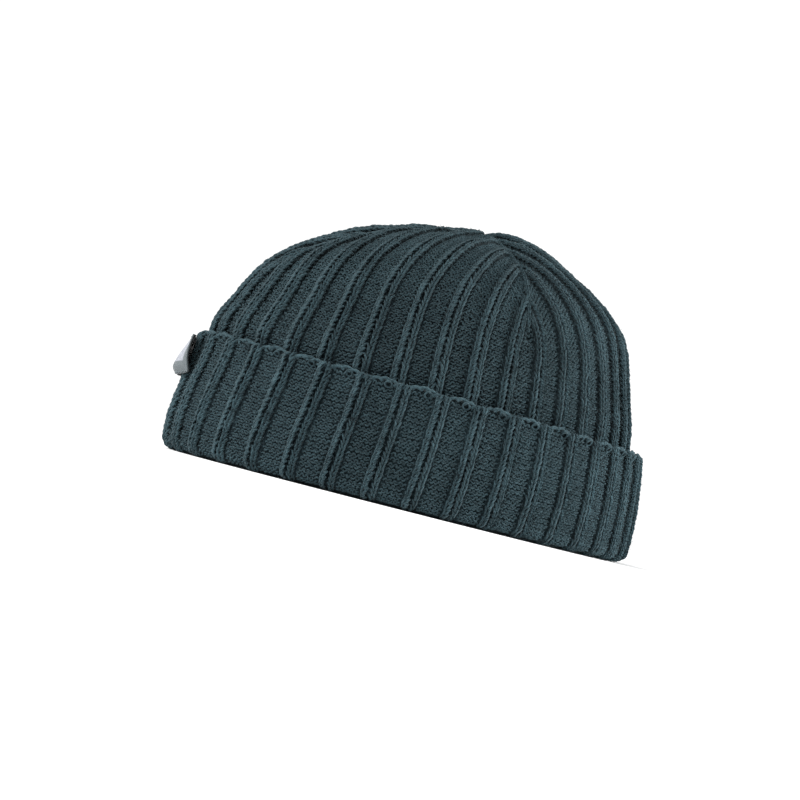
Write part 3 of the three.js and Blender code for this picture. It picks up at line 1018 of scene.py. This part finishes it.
def makeCuffEdge(plan):
    rows = StitchRows()
    links = ribTotal * plan["linksPerRib"]
    across = np.arange(links) / plan["linksPerRib"] - 0.5
    level = np.full(links, plan["linkLevel"])
    point, normal, angle = cuffPlace(level, across)
    onward = cuffPlace(level, across + 0.1)[0] - cuffPlace(level, across - 0.1)[0]
    up = np.cross(normal, unit(onward))
    scallop = plan["scallop"] * np.cos(fullTurn * across) + wave(angle * 14, angle * 9, 8) * plan["ripple"]
    point = point + normal * plan["linkLift"] + np.array([0, 0, 1]) * -scallop[:, None]
    spacing = np.linalg.norm(onward, axis=1) / 0.2 / plan["linksPerRib"]
    size = np.stack([1.12 * spacing / stitchSizes["linkWidth"], np.ones(links), np.full(links, 0.9)], -1)
    rows.add(linkKind, point, up, normal, size, tones["link"], np.random.RandomState(31))
    across = np.arange(ribTotal) + plan["eyelet"]
    level = np.full(ribTotal, plan["eyeletLevel"])
    point, normal, angle = cuffPlace(level, across)
    above = cuffPlace(level + 0.01, across)[0]
    point = point + normal * plan["eyeletLift"]
    rows.add(ringKind, point, above - point, normal, np.ones((ribTotal, 3)), tones["knit"],
             np.random.RandomState(32))
    tree = stitchTree("cuffEdgeTree", cuffWool, {linkKind: linkShape, ringKind: ringShape})
    return rows.makePiece("cuffEdge", tree)


makeCuffEdge(edgePlan)

# Loose fibres that stand off the yarn, painted lighter than the yarn as light caught in them

fuzzPlan = {
    "density": 440000.0,                # fibres on a square metre
    "length": 2.4 * mm,
    "thick": 0.062 * mm,
    "leanMost": 1.25,                   # radians from the surface's normal
    "lift": 1.0 * mm,                   # above the solid knit, where the yarn's crests are
    "shortest": 0.25,                   # in shares of the length
    "longest": 1.3,
    "columns": 252,
    "crownLevels": (0.28, 0.992, 60),   # first, last and number of the rings that the fibres grow from
    "cuffLevels": (0.17, 0.99, 28),
}


def fuzzTree():
    tree = bpy.data.node_groups.new("fuzzTree", "GeometryNodeTree")
    addSocket(tree, "Geometry", "INPUT", "NodeSocketGeometry")
    for key in ("density", "length", "thick", "leanMost"):
        addSocket(tree, key, "INPUT", "NodeSocketFloat", fuzzPlan[key])
    addSocket(tree, "seed", "INPUT", "NodeSocketInt", 3)
    addSocket(tree, "Geometry", "OUTPUT", "NodeSocketGeometry")
    source = addNode(tree, "NodeGroupInput").outputs
    spread = addNode(tree, "GeometryNodeDistributePointsOnFaces", {
        "Mesh": source["Geometry"], "Density": source["density"], "Seed": source["seed"]})
    fibre = addNode(tree, "GeometryNodeMeshCone", {
        "Vertices": 3, "Side Segments": 1, "Fill Segments": 1, "Radius Top": 0.0,
        "Radius Bottom": source["thick"], "Depth": source["length"]})
    least = calc(tree, "MULTIPLY", source["leanMost"], -1.0)
    low = addNode(tree, "ShaderNodeCombineXYZ", {"X": least, "Y": least, "Z": 0.0})
    most = source["leanMost"]
    high = addNode(tree, "ShaderNodeCombineXYZ", {"X": most, "Y": most, "Z": fullTurn})
    lean = addNode(tree, "FunctionNodeRandomValue", {
        0: low.outputs[0], 1: high.outputs[0], "Seed": source["seed"]}, data_type="FLOAT_VECTOR")
    leanTurn = addNode(tree, "FunctionNodeEulerToRotation", {0: lean.outputs[0]})
    turned = addNode(tree, "FunctionNodeRotateRotation", {
        0: spread.outputs["Rotation"], 1: leanTurn.outputs[0]}, rotation_space="LOCAL")
    share = addNode(tree, "FunctionNodeRandomValue", {
        2: fuzzPlan["shortest"], 3: fuzzPlan["longest"], "Seed": source["seed"]}, data_type="FLOAT")
    size = addNode(tree, "ShaderNodeCombineXYZ", {"X": 1.0, "Y": 1.0, "Z": share.outputs[1]})
    placed = addNode(tree, "GeometryNodeInstanceOnPoints", {
        "Points": spread.outputs["Points"], "Instance": fibre.outputs["Mesh"],
        "Rotation": turned.outputs[0], "Scale": size.outputs[0]})
    real = addNode(tree, "GeometryNodeRealizeInstances", {"Geometry": placed.outputs[0]})
    toned = keep(tree, real.outputs[0], "tone", 0.5)
    dressed = addNode(tree, "GeometryNodeSetMaterial", {"Geometry": toned, "Material": fuzzWool})
    addNode(tree, "NodeGroupOutput", {0: dressed.outputs[0]})
    return tree


def makeFuzz(name, rings, tree, seed):
    count = len(rings[0])
    faces = []
    for row in range(len(rings) - 1):
        faces += ringFaces(row * count, (row + 1) * count, count)
    guide = bpy.data.meshes.new(name + "Guide")
    guide.from_pydata([tuple(point) for point in np.concatenate(rings)], [], faces)
    values = {key: fuzzPlan[key] for key in ("density", "length", "thick", "leanMost")}
    values["seed"] = seed
    return finishPiece(runTree(name, guide, tree, values))


def fuzzRings():
    count = fuzzPlan["columns"]
    angles = np.arange(count) / count * fullTurn
    over = {"crest": relief["crest"] + fuzzPlan["lift"], "valley": relief["cuffValley"] + fuzzPlan["lift"]}
    rings = crownOuter(angles, fuzzPlan["crownLevels"], over)
    cuffRings = []
    for level in np.linspace(*fuzzPlan["cuffLevels"]):
        levels = np.full(count, level)
        points = cuffSurface.point(levels, angles)
        across = cuffAcross(angles, points[:, 2])
        rise = ribShape(across, np.abs(across) + fullReach)
        push = over["valley"] + (over["crest"] - over["valley"]) * rise
        cuffRings.append(points + cuffSurface.normal(levels, angles) * push[:, None])
    return rings, cuffRings


fuzzNodes = fuzzTree()
crownRings, cuffRings = fuzzRings()
makeFuzz("crownFuzz", crownRings, fuzzNodes, 3)
makeFuzz("cuffFuzz", cuffRings, fuzzNodes, 4)
print("fuzz grown")

# The woven label

labelPlan = {
    "columns": 81,
    "rows": 45,
    "inset": 0.25 * mm,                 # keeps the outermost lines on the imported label
    "thickness": 0.9 * mm,
    "fieldSide": 3.5 * mm,              # the pale field starts this far from the tape's ends
    "fieldTop": 2.6 * mm,
    "fieldBottom": 6.2 * mm,
    "fieldRise": 0.10 * mm,
    "selvedge": 1.3 * mm,
    "thread": 0.55 * mm,                # one thread of the weave
    "sideBend": 5.2 * mm,               # the tape's ends bend back to the cuff, most of all below
    "topStand": 1.1 * mm,               # and stand off it above
    "cornerRise": 2.2 * mm,             # the lower corners curl up
    "tall": 0.92,
    "grey": (0.110, 0.135, 0.146),
    "pale": (0.40, 0.42, 0.47),
    # the tape's back, seen in the gap between tape and cuff, is painted near black: painted shadow
    "back": (0.010, 0.014, 0.016),
    "threads": 15,                      # sewing stitches along the top and the bottom
    "threadInset": 1.0 * mm,
    "threadSize": (0.62, 0.5, 0.3),     # in shares of a link of the cuff's edge
    "threadTone": 0.5,
}


def labelMaterial(plan, wide, tall):
    material, tree, shader = newMaterial("wovenTape")
    place = addNode(tree, "ShaderNodeUVMap", uv_map="tape").outputs[0]
    parts = addNode(tree, "ShaderNodeSeparateXYZ", {0: place})
    across, up = parts.outputs[0], parts.outputs[1]
    weft = calc(tree, "SINE", calc(tree, "MULTIPLY", up, fullTurn / (plan["thread"] / mm)))
    warp = calc(tree, "SINE", calc(tree, "MULTIPLY", across, fullTurn / (plan["thread"] / mm)))
    weave = calc(tree, "MULTIPLY", weft, warp)
    noise = addNode(tree, "ShaderNodeTexNoise", {"Vector": place, "Scale": 1.3, "Detail": 3.0})
    grain = calc(tree, "MULTIPLY", calc(tree, "SUBTRACT", noise.outputs[0], 0.5), 0.5)
    shade = calc(tree, "ADD", calc(tree, "ADD", calc(tree, "MULTIPLY", weave, 0.16), 0.5), grain)
    sideways = calc(tree, "SUBTRACT", wide / 2 / mm - plan["fieldSide"] / mm, calc(tree, "ABSOLUTE", across))
    below = calc(tree, "SUBTRACT", up, plan["fieldBottom"] / mm)
    above = calc(tree, "SUBTRACT", tall / mm - plan["fieldTop"] / mm, up)
    inside = calc(tree, "MINIMUM", sideways, calc(tree, "MINIMUM", below, above))
    ragged = calc(tree, "ADD", inside, calc(tree, "MULTIPLY", warp, 0.12))
    mask = addNode(tree, "ShaderNodeMapRange", {0: ragged, 1: -0.12, 2: 0.12}).outputs[0]
    colours = []
    for name in ("grey", "pale"):
        dark = tuple(0.72 * value for value in plan[name])
        mix = addNode(tree, "ShaderNodeMix", {0: shade, 6: (*dark, 1), 7: (*plan[name], 1)},
                      data_type="RGBA", clamp_factor=True)
        colours.append(mix.outputs[2])
    face = addNode(tree, "ShaderNodeMix", {0: mask, 6: colours[0], 7: colours[1]}, data_type="RGBA")
    # the back of the tape takes the near-black colour: painted shadow
    paintedShadow = addNode(tree, "ShaderNodeAttribute", attribute_name="paintedShadow").outputs["Fac"]
    colour = addNode(tree, "ShaderNodeMix", {0: paintedShadow, 6: face.outputs[2], 7: (*plan["back"], 1)},
                     data_type="RGBA")
    tree.links.new(colour.outputs[2], shader.inputs["Base Color"])
    bump = addNode(tree, "ShaderNodeBump", {"Strength": 0.8, "Distance": 0.12 * mm, "Height": weave})
    tree.links.new(bump.outputs[0], shader.inputs["Normal"])
    shader.inputs["Roughness"].default_value = 0.62
    shader.inputs["Specular IOR Level"].default_value = 0.35
    shader.inputs["Sheen Weight"].default_value = 0.15
    return material


def tapeFace(x, z, middle):
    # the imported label's face; where a ray misses it at its border, the nearest face towards the middle
    for share in np.linspace(0, 1, 60):
        start = Vector((x * (1 - 0.2 * share), -0.3, z + (middle - z) * share))
        hit = labelTree.ray_cast(start, Vector((0, 1, 0)))[0]
        if hit is not None:
            return x, hit.y, z


def makeLabel(plan):
    low, high = labelBox
    xs = np.linspace(low.x + plan["inset"], high.x - plan["inset"], plan["columns"])
    turned = np.linspace(0, math.pi, plan["rows"])
    zs = (low.z + high.z) / 2 - np.cos(turned) * ((high.z - low.z) / 2 - plan["inset"])
    front = np.zeros((len(zs), len(xs), 3))
    for row, z in enumerate(zs):
        for column, x in enumerate(xs):
            front[row, column] = tapeFace(x, z, (low.z + high.z) / 2)
    for _ in range(3):
        front[1:-1] = (front[:-2] + 2 * front[1:-1] + front[2:]) / 4
        front[:, 1:-1] = (front[:, :-2] + 2 * front[:, 1:-1] + front[:, 2:]) / 4
    front[:, :, 2] = low.z + (front[:, :, 2] - low.z) * plan["tall"]
    standOff = front[:, :, 1].max(axis=0)[None, :] - front[:, :, 1]
    bow = standOff / np.maximum(standOff.max(axis=0), 1e-6)[None, :]
    sideways = (np.abs(xs - (xs[0] + xs[-1]) / 2) / ((xs[-1] - xs[0]) / 2))[None, :]
    upShare = (front[:, :, 2] - low.z) / (high.z - low.z) / plan["tall"]
    front[:, :, 1] += plan["sideBend"] * sideways ** 3 * bow * (1 - upShare)
    front[:, :, 1] -= plan["topStand"] * sideways ** 2 * upShare
    front[:, :, 2] += plan["cornerRise"] * sideways ** 3 * (1 - upShare)
    steps = np.linalg.norm(np.diff(front, axis=0), axis=2).mean(axis=1)
    upWay = np.concatenate([[0], np.cumsum(steps)])
    tall, wide = upWay[-1], xs[-1] - xs[0]
    normal = unit(np.cross(np.gradient(front, axis=1), np.gradient(front, axis=0)))
    side = wide / 2 - np.abs(xs - (xs[0] + xs[-1]) / 2)
    edge = 1 - smoothStep((side - plan["selvedge"] * 0.6) / (plan["selvedge"] * 0.4))
    rise = np.tile(edge * 0.12 * mm, (len(zs), 1))
    inField = (smoothStep((side - plan["fieldSide"]) / (0.4 * mm))[None, :]
               * smoothStep((upWay - plan["fieldBottom"]) / (0.4 * mm))[:, None]
               * smoothStep((tall - plan["fieldTop"] - upWay) / (0.4 * mm))[:, None])
    rise = rise + inField * plan["fieldRise"] - 0.12 * mm
    outer = front + normal * rise[:, :, None]
    inner = front - normal * plan["thickness"]
    rowCount, columnCount = len(zs), len(xs)
    total = rowCount * columnCount
    points = np.concatenate([outer.reshape(-1, 3), inner.reshape(-1, 3)])
    faces = []
    for row in range(rowCount - 1):
        for column in range(columnCount - 1):
            a = row * columnCount + column
            b, c, d = a + 1, a + columnCount + 1, a + columnCount
            faces.append((a, b, c, d))
            faces.append((total + d, total + c, total + b, total + a))
    border = [column for column in range(columnCount)]
    border += [row * columnCount + columnCount - 1 for row in range(1, rowCount)]
    border += [(rowCount - 1) * columnCount + column for column in range(columnCount - 2, -1, -1)]
    border += [row * columnCount for row in range(rowCount - 2, 0, -1)]
    for one, other in zip(border, border[1:] + border[:1]):
        faces.append((one, total + one, total + other, other))
    piece = newPiece("wovenLabel", points, faces, labelMaterial(plan, wide, tall))
    # the inner face is weighted 1 for the painted shadow colour
    back = piece.data.attributes.new("paintedShadow", "FLOAT", "POINT")
    back.data.foreach_set("value", np.repeat([0.0, 1.0], total).astype(np.float32))
    layer = piece.data.uv_layers.new(name="tape")
    for loop in piece.data.loops:
        row, column = divmod(loop.vertex_index % total, columnCount)
        layer.data[loop.index].uv = ((xs[column] - (xs[0] + xs[-1]) / 2) / mm, upWay[row] / mm)
    return piece, outer, normal, upWay


def sewLabel(plan, face, normal, upWay):
    # a line of sewing stitches through the tape, near its top and near its bottom
    paint, tree, shader = newMaterial("sewingThread")
    shader.inputs["Base Color"].default_value = (*plan["grey"], 1)
    shader.inputs["Roughness"].default_value = 0.7
    rows = StitchRows()
    columns = np.linspace(3, plan["columns"] - 4, plan["threads"]).round().astype(int)
    for way in (plan["threadInset"], upWay[-1] - plan["threadInset"]):
        row = int(np.abs(upWay - way).argmin())
        point, out = face[row, columns], normal[row, columns]
        along = face[row, columns + 1] - face[row, columns - 1]
        size = np.tile(plan["threadSize"], (plan["threads"], 1))
        rows.add(linkKind, point, np.cross(out, along), out, size, plan["threadTone"],
                 np.random.RandomState(41 + row), loose=0.04)
    thread = stitchTree("sewingTree", paint, {linkKind: linkShape})
    return rows.makePiece("labelThread", thread)


wovenLabel, labelFace, labelNormal, labelWay = makeLabel(labelPlan)
finishPiece(wovenLabel, ["label"])
sewLabel(labelPlan, labelFace, labelNormal, labelWay)
print("label woven")

# Floor and light

studio = {
    "floor": (0.955, 0.955, 0.955),
    "skySeen": 1.1,
    "skyLight": 0.60,
    "floorHalf": 14.0,
    "sunFrom": (0.62, -0.5, 1.0),
    "sun": 2.1,
    "sunSoft": 24,                      # degrees
    "fills": [
        ("fillRear", (0.25, 1.0, 0.30), 0.5, 15.0),
        ("fillFront", (0.1, -1.0, 0.45), 0.5, 7.5),
    ],
}


def aimAt(light, place):
    light.location = place
    way = Vector((0, 0, 0.05)) - light.location
    light.rotation_euler = way.to_track_quat("-Z", "Y").to_euler()
    scene.collection.objects.link(light)


def makeStudio(settings):
    half = settings["floorHalf"]
    corners = [(-half, -half, 0), (half, -half, 0), (half, half, 0), (-half, half, 0)]
    paint, tree, shader = newMaterial("paleFloor")
    shader.inputs["Base Color"].default_value = (*settings["floor"], 1)
    shader.inputs["Roughness"].default_value = 0.9
    shader.inputs["Specular IOR Level"].default_value = 0.0
    newPiece("floor", corners, [(0, 1, 2, 3)], paint)
    world = bpy.data.worlds.new("sky")
    world.use_nodes = True
    tree = world.node_tree
    seen = addNode(tree, "ShaderNodeLightPath").outputs["Is Camera Ray"]
    strength = addNode(tree, "ShaderNodeMix", {0: seen, 2: settings["skyLight"], 3: settings["skySeen"]})
    back = tree.nodes["Background"]
    back.inputs[0].default_value = (1, 1, 1, 1)
    tree.links.new(strength.outputs[0], back.inputs[1])
    scene.world = world
    sun = bpy.data.lights.new("sun", "SUN")
    sun.energy = settings["sun"]
    sun.angle = math.radians(settings["sunSoft"])
    aimAt(bpy.data.objects.new("sun", sun), settings["sunFrom"])
    for name, place, size, power in settings["fills"]:
        data = bpy.data.lights.new(name, "AREA")
        data.energy = power
        data.size = size
        aimAt(bpy.data.objects.new(name, data), place)


makeStudio(studio)
scene.view_settings.view_transform = "Standard"
print("studio lit")
